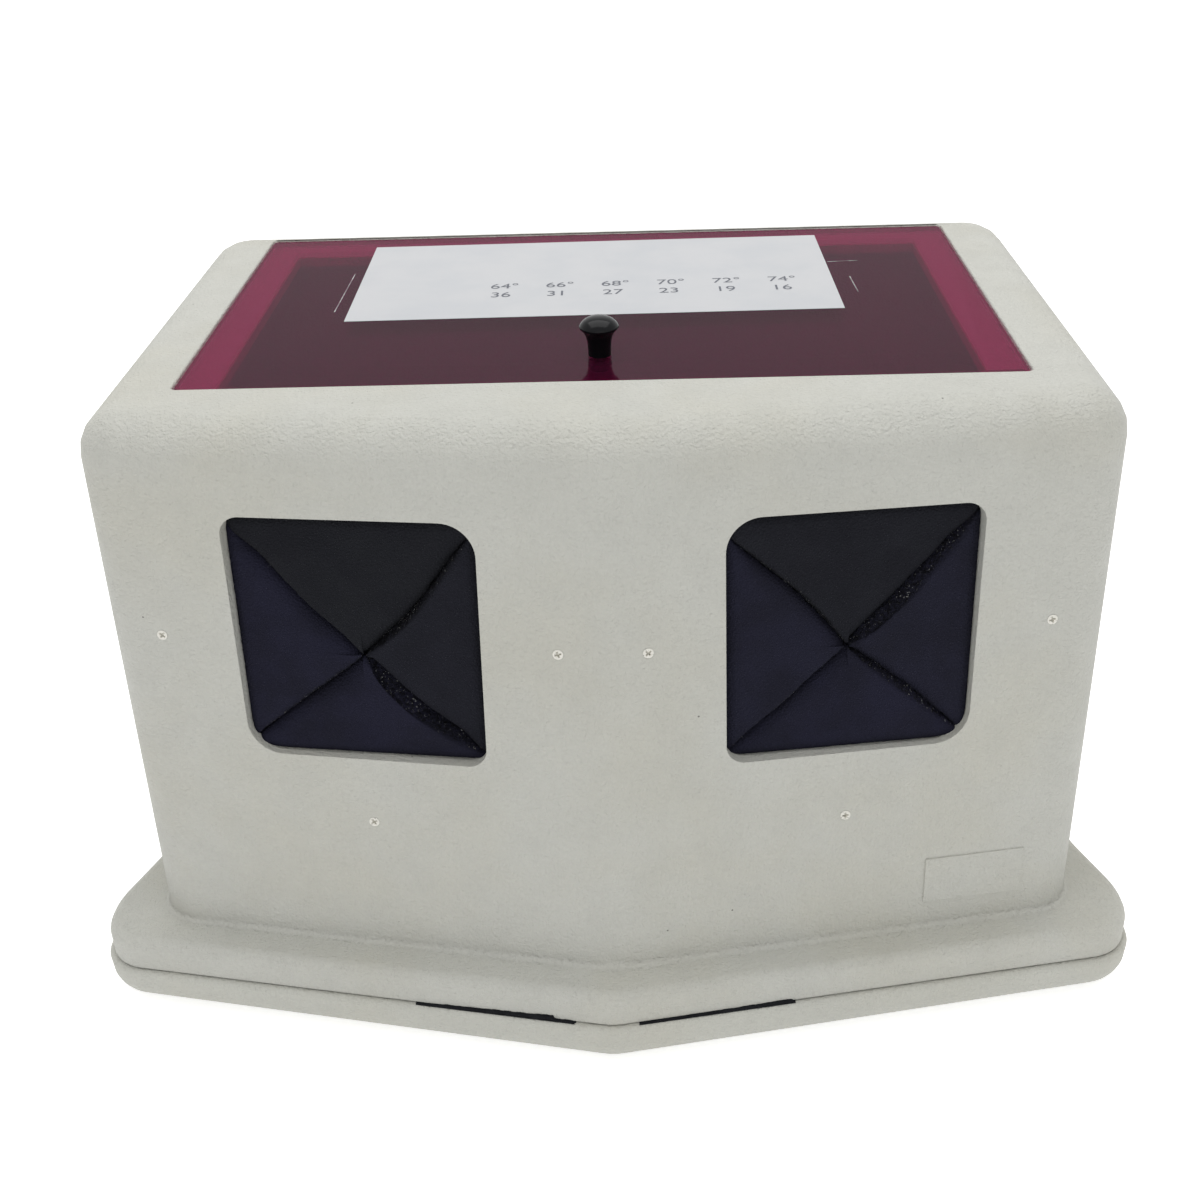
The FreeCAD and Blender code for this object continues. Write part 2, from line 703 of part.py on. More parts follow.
def retaining_frame(side):
    frame = new_body(f"{side}_retaining_frame")
    outer = "(dims.frame_opening + dims.frame_band)"
    outline_pad(frame, "plate", box_corners(f"-{outer}", outer, f"-{outer}", outer),
                FRAME_BACK, "dims.frame_thickness")
    for spot, (x, y) in SCREWS.items():
        low = f"-dims.low_screw_offset - {EAR}" if spot == "bottom" else f"-{EAR}"
        reach = f"({x}) * (1 + {EAR} / dims.side_screw_offset)"
        sides = (f"-{EAR}", EAR) if spot == "bottom" else sorted(("0", reach), key=value)
        outline_pad(frame, f"{spot}_arm", box_corners(*sides, low, EAR), FRAME_BACK,
                    "dims.frame_thickness")
        outline_pad(frame, f"{spot}_block", box_corners(
            f"{x} - {EAR}", f"{x} + {EAR}", f"{y} - {EAR}", f"{y} + {EAR}"), FRAME_BACK,
            "dims.frame_thickness + dims.foam_thickness")
    hole = "dims.frame_opening"
    outline_pad(frame, "opening", box_corners(f"-{hole}", hole, f"-{hole}", hole),
                FOAM_BACK, "dims.frame_thickness * 2", kind="Pocket")
    round_pad(frame, "screw_holes", [
        (x, y, "dims.frame_screw_radius + dims.frame_screw_play") for x, y in SCREWS.values()],
        "-dims.seat_depth", "dims.seat_depth + dims.frame_screw_length", kind="Pocket")
    return node(moved(frame, frames[side]))


def port_screws(side):
    screws = []
    for spot in SCREWS:
        screw = new_body(f"{side}_{spot}_screw")
        revolve(screw, "turned", sink_profile("0", "dims.frame_screw_length", "0"))
        screws.append(moved(screw, at_screw(side, spot)))
    return group(f"{side}_port_screws", screws)


def port_nuts(side):
    corners = [(f"dims.nut_flats * {cos(k * pi / 3) / sqrt(3):.5f}",
                f"dims.nut_flats * {sin(k * pi / 3) / sqrt(3):.5f}") for k in range(6)]
    nuts = []
    for spot in SCREWS:
        nut = new_body(f"{side}_{spot}_nut")
        outline_pad(nut, "hex", corners, f"{FRAME_BACK} - dims.nut_thickness",
                    "dims.nut_thickness")
        round_pad(nut, "thread", [("0", "0", "dims.frame_screw_radius + dims.thread_play")],
                  FRAME_BACK, "dims.nut_thickness * 2", kind="Pocket")
        nuts.append(moved(nut, at_screw(side, spot)))
    return group(f"{side}_port_nuts", nuts)


for side, sign in SIDES.items():
    foam_ring(side)
    for name, turn in (("top", 90), ("bottom", -90), ("outer", 90 - 90 * sign),
                       ("inner", 90 + 90 * sign)):
        foam_flap(side, name, turn)
    retaining_frame(side)
    port_screws(side)
    port_nuts(side)

# Rack with a floor and four square wells for the cups, standing inside the curb of the tray
rack = box_body("cup_rack", rack_outline("0"), "dims.base_floor", "dims.rack_height")
for number, x in enumerate(cup_places):
    outline_pad(rack, f"well_{number}", box_corners(
        f"{x} - {SOCKET}", f"{x} + {SOCKET}", f"dims.cups_y - {SOCKET}",
        f"dims.cups_y + {SOCKET}"), "dims.base_floor + dims.rack_height",
        "dims.rack_height - dims.rack_floor", kind="Pocket")
node(rack)


def cup_outline(grow):
    half = f"(dims.cup_half_side + ({grow}))"
    return box_corners(f"-{half}", half, f"-{half}", half, f"dims.cup_corner + ({grow})")


for name, x in zip(("developer", "rinse", "fixer", "wash"), cup_places):
    cup = new_body(f"{name}_cup")
    outline_pad(cup, "wall", cup_outline("0"), "0", "dims.cup_height")
    outline_pad(cup, "inside", cup_outline("-dims.cup_wall"), "dims.cup_height",
                "dims.cup_height - dims.cup_floor", kind="Pocket")
    node(on_axis(cup, x, "dims.cups_y", "dims.base_floor + dims.rack_floor + dims.cup_play"))

# Checks, then one file for each piece
for item in doc.Objects:
    if {"Invalid", "Error"} & set(item.State):
        raise RuntimeError(f"{item.Label} failed: {item.State}")
os.makedirs("parts", exist_ok=True)
for item in nodes:
    shape = item.Shape
    if shape.isNull() or not shape.isValid():
        raise RuntimeError(f"{item.Label} has no valid shape")
    shape.exportStep(f"parts/{item.Label}.step")
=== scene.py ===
from math import cos, pi, radians, sin, sqrt

import bmesh
import bpy
from mathutils import Matrix, Vector, noise


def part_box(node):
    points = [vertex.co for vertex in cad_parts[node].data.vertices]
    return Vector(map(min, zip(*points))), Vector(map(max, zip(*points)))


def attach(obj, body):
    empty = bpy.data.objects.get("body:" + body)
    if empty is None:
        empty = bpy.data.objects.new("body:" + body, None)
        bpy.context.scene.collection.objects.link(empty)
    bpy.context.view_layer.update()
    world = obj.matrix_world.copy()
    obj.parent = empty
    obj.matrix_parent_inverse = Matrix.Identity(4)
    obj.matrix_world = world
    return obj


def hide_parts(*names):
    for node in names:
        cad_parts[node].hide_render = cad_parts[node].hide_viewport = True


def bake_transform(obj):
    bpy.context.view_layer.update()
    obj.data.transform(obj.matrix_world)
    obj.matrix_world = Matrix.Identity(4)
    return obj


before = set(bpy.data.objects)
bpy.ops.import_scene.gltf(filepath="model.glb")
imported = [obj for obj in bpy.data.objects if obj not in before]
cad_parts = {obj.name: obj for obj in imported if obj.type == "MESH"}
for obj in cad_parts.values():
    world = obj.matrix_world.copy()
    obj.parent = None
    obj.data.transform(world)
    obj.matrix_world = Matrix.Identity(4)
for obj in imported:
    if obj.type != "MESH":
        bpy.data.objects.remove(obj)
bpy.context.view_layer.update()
MM = 0.001


# Camera, floor and light
def place_camera():
    """Looks down on the front, a little from the right and slightly rolled."""
    pitch, yaw, roll = radians(29.82), radians(-1.82), radians(1.94)
    ahead = Vector((sin(yaw) * cos(pitch), cos(yaw) * cos(pitch), -sin(pitch)))
    across = Vector((cos(yaw), -sin(yaw), 0))
    down = ahead.cross(across)
    right = cos(roll) * across + sin(roll) * down
    below = cos(roll) * down - sin(roll) * across
    data = bpy.data.cameras.new("photo_camera")
    data.sensor_width = 36.0
    data.lens = 45.0
    data.clip_start = 0.02
    data.clip_end = 50.0
    camera = bpy.data.objects.new("photo_camera", data)
    turn = Matrix((right, -below, -ahead)).transposed().to_4x4()
    camera.matrix_world = Matrix.Translation(Vector((15.0, -614.2, 484.3)) * MM) @ turn
    bpy.context.scene.collection.objects.link(camera)
    bpy.context.scene.camera = camera


def add_lamp(name, place, aim, width, height, power):
    """Soft rectangular lamp that looks at a point."""
    data = bpy.data.lights.new(name, "AREA")
    data.shape = "RECTANGLE"
    data.size = width
    data.size_y = height
    data.energy = power
    lamp = bpy.data.objects.new(name, data)
    look = (Vector(aim) - Vector(place)).to_track_quat("-Z", "Y").to_matrix().to_4x4()
    lamp.matrix_world = Matrix.Translation(Vector(place)) @ look
    bpy.context.scene.collection.objects.link(lamp)


# Shader expressions
class Value:
    """A socket that adds Math nodes when it is used in an expression."""

    def __init__(self, finish, socket):
        self.finish = finish
        self.socket = socket

    def math(self, operation, *others, clamp=False):
        return self.finish.node("ShaderNodeMath", {"operation": operation, "use_clamp": clamp},
                                dict(enumerate((self,) + others)))

    def __add__(self, other):
        return self.math("ADD", other)

    def __radd__(self, other):
        return self.math("ADD", other)

    def __sub__(self, other):
        return self.math("SUBTRACT", other)

    def __rsub__(self, other):
        return self.finish.node("ShaderNodeMath", {"operation": "SUBTRACT"}, {0: other, 1: self})

    def __mul__(self, other):
        return self.math("MULTIPLY", other)

    def __rmul__(self, other):
        return self.math("MULTIPLY", other)

    def __truediv__(self, other):
        return self.math("DIVIDE", other)

    def __gt__(self, other):
        return self.math("GREATER_THAN", other)

    def __lt__(self, other):
        return self.math("LESS_THAN", other)

    def power(self, other):
        return self.math("POWER", other)

    def within(self, low, high):
        """0 below low, 1 above high, smooth between; low may be the larger."""
        if low > high:
            return 1 - self.within(high, low)
        return self.finish.node("ShaderNodeMapRange", {"interpolation_type": "SMOOTHSTEP"},
                                {0: self, 1: low, 2: high, 3: 0.0, 4: 1.0})


class Finish:
    """A material with one Principled shader, built up by short calls."""

    def __init__(self, name):
        self.material = bpy.data.materials.new(name)
        self.material.use_nodes = True
        self.tree = self.material.node_tree
        self.shader = self.tree.nodes["Principled BSDF"]

    def node(self, kind, settings=None, inputs=None, output=0):
        made = self.tree.nodes.new(kind)
        for key, value in (settings or {}).items():
            setattr(made, key, value)
        for key, value in (inputs or {}).items():
            if isinstance(value, Value):
                self.tree.links.new(value.socket, made.inputs[key])
            else:
                made.inputs[key].default_value = value
        return Value(self, made.outputs[output])

    def set(self, **values):
        """Constant sockets of the shader, with _ for a space in the name."""
        for key, value in values.items():
            self.shader.inputs[key.replace("_", " ")].default_value = value
        return self

    def drive(self, name, value):
        self.tree.links.new(value.socket, self.shader.inputs[name])

    def place(self, scale=(1, 1, 1), turn=(0, 0, 0)):
        """Object coordinates in metres, stretched or turned."""
        spot = self.node("ShaderNodeTexCoord", output="Object")
        if scale == (1, 1, 1) and turn == (0, 0, 0):
            return spot
        return self.node("ShaderNodeMapping", {}, {"Vector": spot, "Scale": scale,
                                                   "Rotation": turn})

    def axes(self):
        """Object coordinates as three numbers."""
        spot = self.place()
        parts = self.node("ShaderNodeSeparateXYZ", {}, {0: spot})
        nodes = parts.socket.node
        return [Value(self, nodes.outputs[k]) for k in range(3)]

    def noise(self, size, detail=2.0, rough=0.5, spot=None):
        """Noise whose lumps are about size metres across."""
        return self.node("ShaderNodeTexNoise", {}, {
            "Vector": spot or self.place(), "Scale": 1 / size, "Detail": detail,
            "Roughness": rough})

    def cells(self, size, feature="F1", output="Distance", spot=None):
        return self.node("ShaderNodeTexVoronoi", {"feature": feature}, {
            "Vector": spot or self.place(), "Scale": 1 / size}, output)

    def blend(self, factor, a, b):
        """Mixes two colours by a factor."""
        mixed = self.node("ShaderNodeMix", {"data_type": "RGBA"}, {0: factor, 6: a, 7: b}, 2)
        return mixed

    def bump(self, height, depth, below=None):
        """Adds relief of a depth in metres, over an earlier relief."""
        inputs = {"Height": height, "Distance": depth, "Strength": 1.0}
        if below is not None:
            inputs["Normal"] = below
        return self.node("ShaderNodeBump", {}, inputs)


def colour(r, g, b, a=1.0):
    """A colour as a painter reads it, 0 to 255, turned to linear light."""
    def line(c):
        c = c / 255
        return c / 12.92 if c < 0.04045 else ((c + 0.055) / 1.055) ** 2.4
    return (line(r), line(g), line(b), a)


# Finishes
def cast_plastic(name, main, stain, shade):
    """Pebbled off-white moulding with faint blotches and a few dark specks."""
    f = Finish(name)
    cloud = f.noise(0.09, 3.0, 0.6).within(0.42, 0.68)
    tone = f.noise(0.018, 4.0, 0.6).within(0.3, 0.75)
    base = f.blend(cloud * 0.5, main, stain)
    base = f.blend(tone * 0.22, base, shade)
    mottle = f.noise(0.0016, 2.0, 0.6).within(0.35, 0.7)
    base = f.blend(mottle * 0.16, base, shade)
    speck = f.cells(0.013)
    pick = f.node("ShaderNodeSeparateXYZ", {}, {0: f.cells(0.013, output="Color")})
    mark = (speck < 0.032) * (pick > 0.8)
    base = f.blend(mark * 0.7, base, colour(60, 57, 52))
    f.drive("Base Color", base)
    f.drive("Roughness", 0.52 + 0.12 * tone)
    pebble = f.noise(0.0015, 2.0, 0.55)
    fine = f.noise(0.001, 1.0, 0.5)
    f.drive("Normal", f.bump(pebble + fine * 0.5, 0.0008))
    f.set(Specular_IOR_Level=0.3)
    return f.material


def ruby_pane():
    """Deep red sheet, polished, with faint rub marks and dust; lamps shine through it."""
    tint = (0.5, 0.06, 0.225, 1.0)
    surface_tint = tuple(sqrt(c) for c in tint)
    plain_share = 0.74
    f = Finish("ruby_pane")
    rub = f.noise(0.05, 4.0, 0.65).within(0.45, 0.75)
    dust = f.cells(0.007)
    pick = f.node("ShaderNodeSeparateXYZ", {}, {0: f.cells(0.007, output="Color")})
    mark = (dust < 0.035) * (pick > 0.86)
    f.drive("Roughness", 0.02 + 0.04 * rub + 0.4 * mark)
    f.drive("Base Color", f.blend(mark * 0.5, tint, colour(214, 150, 168)))
    f.set(Transmission_Weight=0.85, IOR=1.49)
    lamps = f.node("ShaderNodeLightPath", output="Is Shadow Ray")
    clear = f.node("ShaderNodeBsdfTransparent", {}, {"Color": surface_tint})
    leaving = f.node("ShaderNodeNewGeometry", output="Backfacing")
    share = plain_share + (1 - plain_share) * lamps.math("MAXIMUM", leaving * 0.85)
    mixed = f.node("ShaderNodeMixShader", {}, {0: share, 2: clear})
    f.tree.links.new(f.shader.outputs[0], mixed.socket.node.inputs[1])
    f.tree.links.new(mixed.socket, f.tree.nodes["Material Output"].inputs["Surface"])
    return f.material


def black_gloss():
    """Turned black plastic with light polishing marks."""
    f = Finish("black_gloss")
    swirl = f.noise(0.0012, 2.0, 0.5)
    f.drive("Roughness", 0.12 + 0.1 * swirl)
    f.set(Base_Color=colour(11, 12, 15), Specular_IOR_Level=0.16)
    f.drive("Normal", f.bump(swirl, 0.00002))
    return f.material


def card_stock():
    """Pale card under clear film."""
    f = Finish("card_stock")
    cloud = f.noise(0.03, 3.0, 0.6).within(0.35, 0.7)
    grain = f.noise(0.0008, 2.0, 0.6)
    f.drive("Base Color", f.blend(cloud, colour(187, 188, 190), colour(182, 184, 187)))
    f.drive("Roughness", 0.34 + 0.1 * grain)
    f.drive("Normal", f.bump(f.noise(0.04, 2.0), 0.0002))
    f.set(Specular_IOR_Level=0.3)
    return f.material


def printed_ink():
    f = Finish("printed_ink")
    fade = f.noise(0.0012, 3.0, 0.6).within(0.3, 0.8)
    f.drive("Base Color", f.blend(fade * 0.5, colour(70, 74, 84), colour(118, 122, 130)))
    f.drive("Roughness", 0.45 + 0.1 * fade)
    return f.material


def film_edge():
    """The hairline where clear film ends on the pane, in painted light: a pane-like dark red, painted
    copy of the pane's reflected look, broken by pale painted highlights.
    """
    f = Finish("film_edge")
    broken_glint = f.noise(0.006, 3.0, 0.7).within(0.4, 0.62)
    f.drive("Base Color", f.blend(broken_glint, colour(96, 62, 80), colour(190, 180, 186)))
    f.drive("Roughness", 0.3 + 0.2 * broken_glint)
    return f.material


def baffle_foam():
    """Open-cell foam with rough cut faces; the cut faces and the front near the slits are darkened as
    painted shade, with pale torn fibres as painted highlights, and each flap's bluish tone is painted
    sheen.
    """
    f = Finish("baffle_foam")
    cut = f.node("ShaderNodeAttribute", {"attribute_name": "cut"}, {}, "Fac")
    painted_sheen_blue = f.node("ShaderNodeAttribute", {"attribute_name": "painted_sheen_blue"}, {}, "Fac")
    soft = f.noise(0.02, 3.0, 0.6).within(0.35, 0.7)
    fibre_glint = f.noise(0.0011, 3.0, 0.75).within(0.6, 0.68)
    patch = f.noise(0.007, 2.0, 0.6).within(0.46, 0.6)
    painted_shade_pores = f.noise(0.0016, 2.0, 0.7).within(0.4, 0.62)
    # Bluish tone per flap: painted sheen on flaps cut from one sheet.
    base = f.blend(painted_sheen_blue, colour(31, 32, 36), colour(33, 33, 47))
    base = f.blend(soft * 0.4, base, colour(27, 27, 32))
    # Cut faces and the front near the slits go near-black: painted shade of the slits, broken up by the
    # pores noise.
    base = f.blend(cut * painted_shade_pores * 0.8, base, colour(16, 16, 18))
    # Pale torn fibres on the cut faces: painted highlight where light catches them.
    base = f.blend(cut * fibre_glint * (0.25 + 0.75 * patch), base, colour(150, 150, 148))
    f.drive("Base Color", base)
    f.drive("Roughness", 0.9 + 0.1 * soft)
    grain = f.cells(0.0009)
    f.drive("Normal", f.bump(grain + f.noise(0.0022, 2.0) * (0.3 + 1.2 * cut), 0.0005))
    f.set(Specular_IOR_Level=0.08)
    return f.material


def strip_foam():
    f = Finish("strip_foam")
    cells = f.cells(0.001)
    f.drive("Base Color", f.blend(f.noise(0.01).within(0.3, 0.7), colour(24, 25, 28),
                                  colour(34, 35, 38)))
    f.set(Roughness=0.95, Specular_IOR_Level=0.1)
    f.drive("Normal", f.bump(cells, 0.0004))
    return f.material


def painted_screw():
    """Off-white paint on a screw's head, chipped in places."""
    f = Finish("painted_screw")
    chip = f.noise(0.0008, 3.0, 0.6).within(0.6, 0.68)
    f.drive("Base Color", f.blend(chip, colour(222, 220, 211), colour(150, 148, 140)))
    f.drive("Roughness", 0.4 + 0.15 * chip)
    f.drive("Metallic", chip * 0.5)
    f.drive("Normal", f.bump(f.noise(0.0007), 0.00004))
    return f.material


def painted_shade_recess():
    # Near-black cross recess of the screw heads: painted shade of the hollow, mottled by noise.
    f = Finish("painted_shade_recess")
    recess_shade_mottle = f.noise(0.0005, 2.0, 0.6)
    f.drive("Base Color", f.blend(recess_shade_mottle, colour(8, 8, 8), colour(24, 23, 22)))
    f.drive("Roughness", 0.6 + 0.2 * recess_shade_mottle)
    return f.material


def plain_steel():
    f = Finish("plain_steel")
    rub = f.noise(0.0015, 3.0, 0.6)
    f.drive("Base Color", f.blend(rub, colour(176, 176, 174), colour(140, 140, 137)))
    f.drive("Roughness", 0.28 + 0.2 * rub)
    f.set(Metallic=1.0)
    f.drive("Normal", f.bump(rub, 0.00003))
    return f.material


def moulded(name, main, shade, rough, grain=0.0008, depth=0.00006):
    """Smooth moulded plastic with faint flow marks and a fine skin."""
    f = Finish(name)
    flow = f.noise(0.03, 3.0, 0.6).within(0.35, 0.7)
    f.drive("Base Color", f.blend(flow, main, shade))
    f.drive("Roughness", rough + 0.08 * flow)
    f.drive("Normal", f.bump(f.noise(grain, 2.0), depth))
    return f.material


# Helpers for pieces
def paint(node, material):
    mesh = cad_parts[node].data
    mesh.materials.clear()
    mesh.materials.append(material)


def new_piece(name, shape, materials, body=None, smooth_below=50.0):
    """Finishes a bmesh as an object, smooth but for its sharp edges."""
    for face in shape.faces:
        face.smooth = True
    for edge in shape.edges:
        edge.smooth = edge.calc_face_angle(pi) < radians(smooth_below)
    mesh = bpy.data.meshes.new(name)
    shape.to_mesh(mesh)
    shape.free()
    if "custom_normal" in mesh.attributes:
        mesh.attributes.remove(mesh.attributes["custom_normal"])
    mesh.materials.clear()
    for material in materials if isinstance(materials, list) else [materials]:
        mesh.materials.append(material)
    piece = bpy.data.objects.new(name, mesh)
    bpy.context.scene.collection.objects.link(piece)
    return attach(piece, body) if body else piece


def merged_copy(node):
    """The node's mesh with its corners joined and its flat triangles in larger faces."""
    shape = bmesh.new()
    shape.from_mesh(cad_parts[node].data)
    bmesh.ops.remove_doubles(shape, verts=shape.verts[:], dist=0.02 * MM)
    bmesh.ops.dissolve_limit(shape, angle_limit=radians(0.3), verts=shape.verts[:],
                             edges=shape.edges[:])
    return shape


def round_edges(shape, chosen, width, segments=3, sharper=50.0):
    """Rounds the sharp edges whose two ends pass a test; width is in millimetres."""
    edges = [e for e in shape.edges if e.is_manifold
             and e.calc_face_angle(0.0) > radians(sharper)
             and all(chosen(v.co / MM) for v in e.verts)]
    bmesh.ops.bevel(shape, geom=edges, offset=width * MM, offset_type="OFFSET",
                    segments=segments, profile=0.5, affect="EDGES", material=-1,
                    clamp_overlap=True)


def flat_faces_first(piece):
    """Keeps large flat faces flat in the shading beside small rounded edges."""
    weighted = piece.modifiers.new("weighted_normals", "WEIGHTED_NORMAL")
    weighted.keep_sharp = True
    weighted.weight = 60
    return piece


# Places on the front faces, in millimetres
SCREW_SIDE = 79.7
SCREW_LOW = 82.7
PORT_HALF_WIDTH = 49.5
PORT_HALF_TALL = 52.5
HOOD_FOOT = 21.0
HOOD_TOP = 270.0
SIDES = {"left": -1, "right": 1}


class Face:
    """Directions on a front face at a port: along the face, up it and out of it."""

    def __init__(self, sign):
        self.middle = Vector((sign * 96.4, -117.03, 181.0))
        self.along = Vector((0.99217, sign * 0.12484, 0.0)).normalized()
        self.up = Vector((-sign * 0.00866, 0.06885, 0.99758)).normalized()
        self.out = self.along.cross(self.up)

    def point(self, u, v, w):
        return (self.middle + self.along * u + self.up * v + self.out * w) * MM

    def local(self, spot):
        """Place of a point in millimetres as along, up and out."""
        away = spot - self.middle
        return Vector((away.dot(self.along), away.dot(self.up), away.dot(self.out)))

    def matrix(self, u, v):
        turn = Matrix((self.along, self.up, self.out)).transposed().to_4x4()
        return Matrix.Translation(self.point(u, v, 0)) @ turn @ Matrix.Scale(MM, 4)


# Hood and base: the same plastic, with the small rounds that a mould leaves
def add_hood(material):
    shape = merged_copy("hood_shell")
    faces = [Face(sign) for sign in SIDES.values()]

    def at_port(spot):
        for face in faces:
            u, v, w = face.local(spot)
            if abs(w) < 1.5 and abs(u) < PORT_HALF_WIDTH + 1 and abs(v) < PORT_HALF_TALL + 1:
                return True
        return False

    round_edges(shape, at_port, 1.2, 3)
    round_edges(shape, lambda c: c.z > HOOD_TOP - 0.1, 0.9, 3)
    round_edges(shape, lambda c: c.z < HOOD_FOOT + 0.1, 0.7, 3)
    round_edges(shape, lambda c: 260 < c.z < HOOD_TOP - 3, 0.6, 2)
    settle = 0.65
    for v in shape.verts:
        if v.co.z < (HOOD_FOOT + 0.9) * MM:
            v.co.z -= settle * MM
    piece = new_piece("hood_cover", shape, material, "hood")
    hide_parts("hood_shell")
    return flat_faces_first(piece)


def outline_at(shape, level):
    """The outer outline's pieces at a height: both ends and the way inward."""
    pieces = []
    for e in shape.edges:
        a, b = (v.co / MM for v in e.verts)
        if abs(a.z - level) < 0.05 and abs(b.z - level) < 0.05:
            inward = Vector((a.y - b.y, b.x - a.x)).normalized()
            if inward.dot(Vector((-a.x, 10 - a.y))) < 0:
                inward.negate()
            pieces.append((a.xy, b.xy, inward))
    return pieces


def nearest_piece(spot, outline):
    """Distance to the outline and the way inward there."""
    found = (1000.0, Vector((0, 0)))
    for a, b, inward in outline:
        share = min(1.0, max(0.0, (spot - a).dot(b - a) / max((b - a).length_squared, 1e-9)))
        gap = (a.lerp(b, share) - spot).length
        if gap < found[0]:
            found = (gap, inward)
    return found


def add_base(material):
    """The skirt curls under, more so at the corners, and leaves a flat ring to stand on."""
    shape = merged_copy("base_tray")
    for level in (11.0, 8.0, 5.5, 3.5, 2.0, 0.9):
        bmesh.ops.bisect_plane(shape, geom=shape.verts[:] + shape.edges[:] + shape.faces[:],
                               dist=0.001 * MM, plane_co=(0, 0, level * MM),
                               plane_no=(0, 0, 1))
    outline = outline_at(shape, 18.0)
    for v in shape.verts:
        spot = v.co / MM
        curl = 11.0 + 3.5 * min(1.0, abs(spot.x) / 190)
        gap, inward = nearest_piece(spot.xy, outline)
        if spot.z < curl and gap < 5.5:
            drop = 1 - spot.z / curl
            far = curl * (1 - sqrt(max(0.0, 1 - drop * drop))) * 0.95
            v.co += Vector((inward.x, inward.y, 0)) * far * MM
    round_edges(shape, lambda c: 17 < c.z < 20.1, 0.7, 2, sharper=40)
    round_edges(shape, lambda c: c.z > 20.5, 0.5, 2)
    piece = new_piece("base_pan", shape, material, "base")
    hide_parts("base_tray")
    return flat_faces_first(piece)


def add_gasket(material):
    """Foam strip flattened in the seam, squeezed out along two stretches of the front."""
    shape = merged_copy("base_gasket")
    seam = 20.0
    for v in shape.verts:
        v.co.z = (seam + (v.co.z / MM - seam) * 0.4) * MM
    for start, end, low, high in ((-84.0, -15.0, 0.9, 3.0), (11.0, 77.0, 0.7, 2.0)):
        tube = bmesh.new()
        bmesh.ops.create_grid(tube, x_segments=110, y_segments=14, size=1.0)
        for v in tube.verts:
            share = (v.co.x + 1) / 2
            turn = v.co.y * pi
            x = start + (end - start) * share
            blunt = min(1.0, share * 9, (1 - share) * 30) ** 0.5
            ragged = noise.noise(Vector((x * 0.35, 0, turn * 0.4))) * 0.35
            ragged += noise.noise(Vector((x * 1.3, 5, turn))) * 0.18
            tall = (low + (high - low) * share ** 0.8) * (1 - 0.5 * (share > 0.86) * (start < 0))
            edge = -161.6 + abs(x) * 0.1785
            y = edge + 0.3 - (1.5 + ragged) * cos(turn) * blunt
            z = seam - 0.35 + tall * blunt * (0.5 + 0.5 * sin(turn) * (1 + ragged))
            v.co = Vector((x, y, z)) * MM
        bmesh.ops.remove_doubles(tube, verts=tube.verts[:], dist=0.01 * MM)
        bmesh.ops.recalc_face_normals(tube, faces=tube.faces[:])
        part = bpy.data.meshes.new("squeezed_foam")
        tube.to_mesh(part)
        tube.free()
        shape.from_mesh(part)
        bpy.data.meshes.remove(part)
    piece = new_piece("seam_foam", shape, material, "base")
    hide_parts("base_gasket")
    return piece


# Knob, screws and cups
def add_knob(material):
    """Mushroom knob turned from one profile of radius and height."""
    profile = [(0, 16), (2.2, 15.9), (4.4, 15.35), (6.2, 14.3), (7.35, 13.1), (7.9, 12.2),
               (8.0, 11.7), (7.75, 11.2), (7.1, 10.5), (6.2, 9.5), (5.45, 8.0), (4.95, 6.0),
               (4.7, 3.5), (4.6, 1.0), (4.6, 0), (2.1, 0), (2.1, 9), (0, 9)]
    low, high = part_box("window_knob")
    centre = Vector(((low.x + high.x) / 2, (low.y + high.y) / 2, low.z))
    shape = bmesh.new()
    spots = [shape.verts.new((r * MM, 0, z * MM)) for r, z in profile]
    line = [shape.edges.new(pair) for pair in zip(spots, spots[1:])]
    bmesh.ops.spin(shape, geom=spots + line, cent=(0, 0, 0), axis=(0, 0, 1), angle=2 * pi,
                   steps=72, use_merge=True)
    bmesh.ops.remove_doubles(shape, verts=shape.verts[:], dist=0.01 * MM)
    bmesh.ops.recalc_face_normals(shape, faces=shape.faces[:])
    bmesh.ops.translate(shape, vec=centre, verts=shape.verts[:])
    piece = new_piece("mushroom_knob", shape, material, "window", 60.0)
    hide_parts("window_knob")
    return piece


def screw_mesh(turn):
    """Countersunk screw with its head's rim at height 0 and a sunk cross in it."""
    head, shank, cone, length, arm, half, deep = 2.15, 1.25, 1.4, 20.0, 1.4, 0.42, 1.1
    shape = bmesh.new()
    corners = []
    for k in range(4):
        quarter = Matrix.Rotation(k * pi / 2 + turn, 3, "Z")
        for x, y in ((arm, -half), (arm, half), (half, half)):
            corners.append(shape.verts.new(quarter @ Vector((x, y, 0.12))))
    cross = [shape.edges.new((a, b)) for a, b in zip(corners, corners[1:] + corners[:1])]
    ring = bmesh.ops.create_circle(shape, segments=32, radius=head)["verts"]
    rim = [e for e in shape.edges if e.verts[0] in ring and e.verts[1] in ring]
    bmesh.ops.triangle_fill(shape, use_beauty=True, edges=cross + rim)
    sunk = bmesh.ops.extrude_edge_only(shape, edges=cross)["geom"]
    floor = [g for g in sunk if isinstance(g, bmesh.types.BMVert)]
    for v in floor:
        v.co = Vector((v.co.x * 0.7, v.co.y * 0.7, -deep))
    bottom = bmesh.ops.contextual_create(shape, geom=[
        g for g in sunk if isinstance(g, bmesh.types.BMEdge)])["faces"]
    # Faces of the sunk cross take the second material, which paints shade in the hollow.
    dark = [g for g in sunk if isinstance(g, bmesh.types.BMFace)] + bottom
    for face in dark:
        face.material_index = 1
    edges = rim
    for radius, height in ((shank, -cone), (shank, -length)):
        grown = bmesh.ops.extrude_edge_only(shape, edges=edges)["geom"]
        edges = [g for g in grown if isinstance(g, bmesh.types.BMEdge)]
        for v in (g for g in grown if isinstance(g, bmesh.types.BMVert)):
            flat = Vector((v.co.x, v.co.y, 0)).normalized() * radius
            v.co = Vector((flat.x, flat.y, height))
    bmesh.ops.contextual_create(shape, geom=edges)
    bmesh.ops.recalc_face_normals(shape, faces=shape.faces[:])
    return shape


